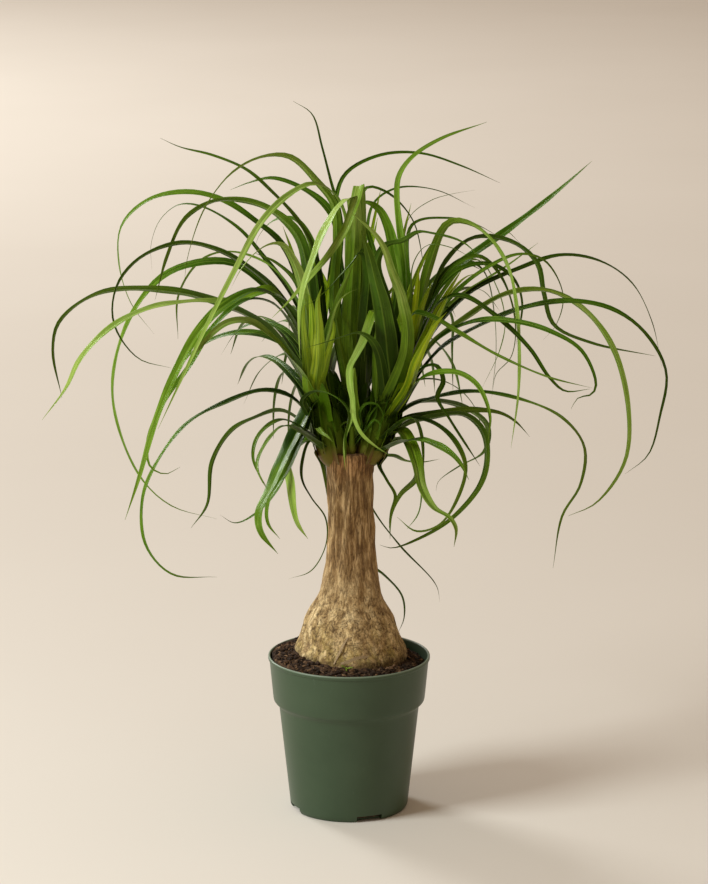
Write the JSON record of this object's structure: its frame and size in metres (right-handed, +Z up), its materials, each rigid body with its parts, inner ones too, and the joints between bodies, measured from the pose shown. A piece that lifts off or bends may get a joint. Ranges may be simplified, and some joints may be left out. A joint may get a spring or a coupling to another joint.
{
  "type": "potted ponytail palm",
  "caption": "Ponytail palm in a plastic nursery pot: swollen trunk standing in soil, cut top, and heads of long arching strap leaves.",
  "frame": {"origin": "on the pot's axis, on the surface that the pot stands on", "axes": "+Z up along the pot's axis and the trunk, +X to the right of the picture, +Y away from the viewer"},
  "size_m": [0.6185, 0.4772, 0.716],
  "materials": {
    "pot_plastic": "satin dark green moulded plastic",
    "soil": "crumbly dark potting soil of bark and peat",
    "bark": "fissured grey-brown bark",
    "leaf": "satin green strap leaf, tough and fibrous",
    "dry_leaf": "dead dry leaf"
  },
  "bodies": {
    "root": {"pot": "pot_plastic", "soil": "soil", "trunk": "bark", "left_head": "leaf", "right_head": "leaf", "back_head": "leaf", "front_tuft": "leaf", "sprout": "leaf", "dry_leaf": "dry_leaf", "dry_curl": "dry_leaf"}
  },
  "joints": []
}
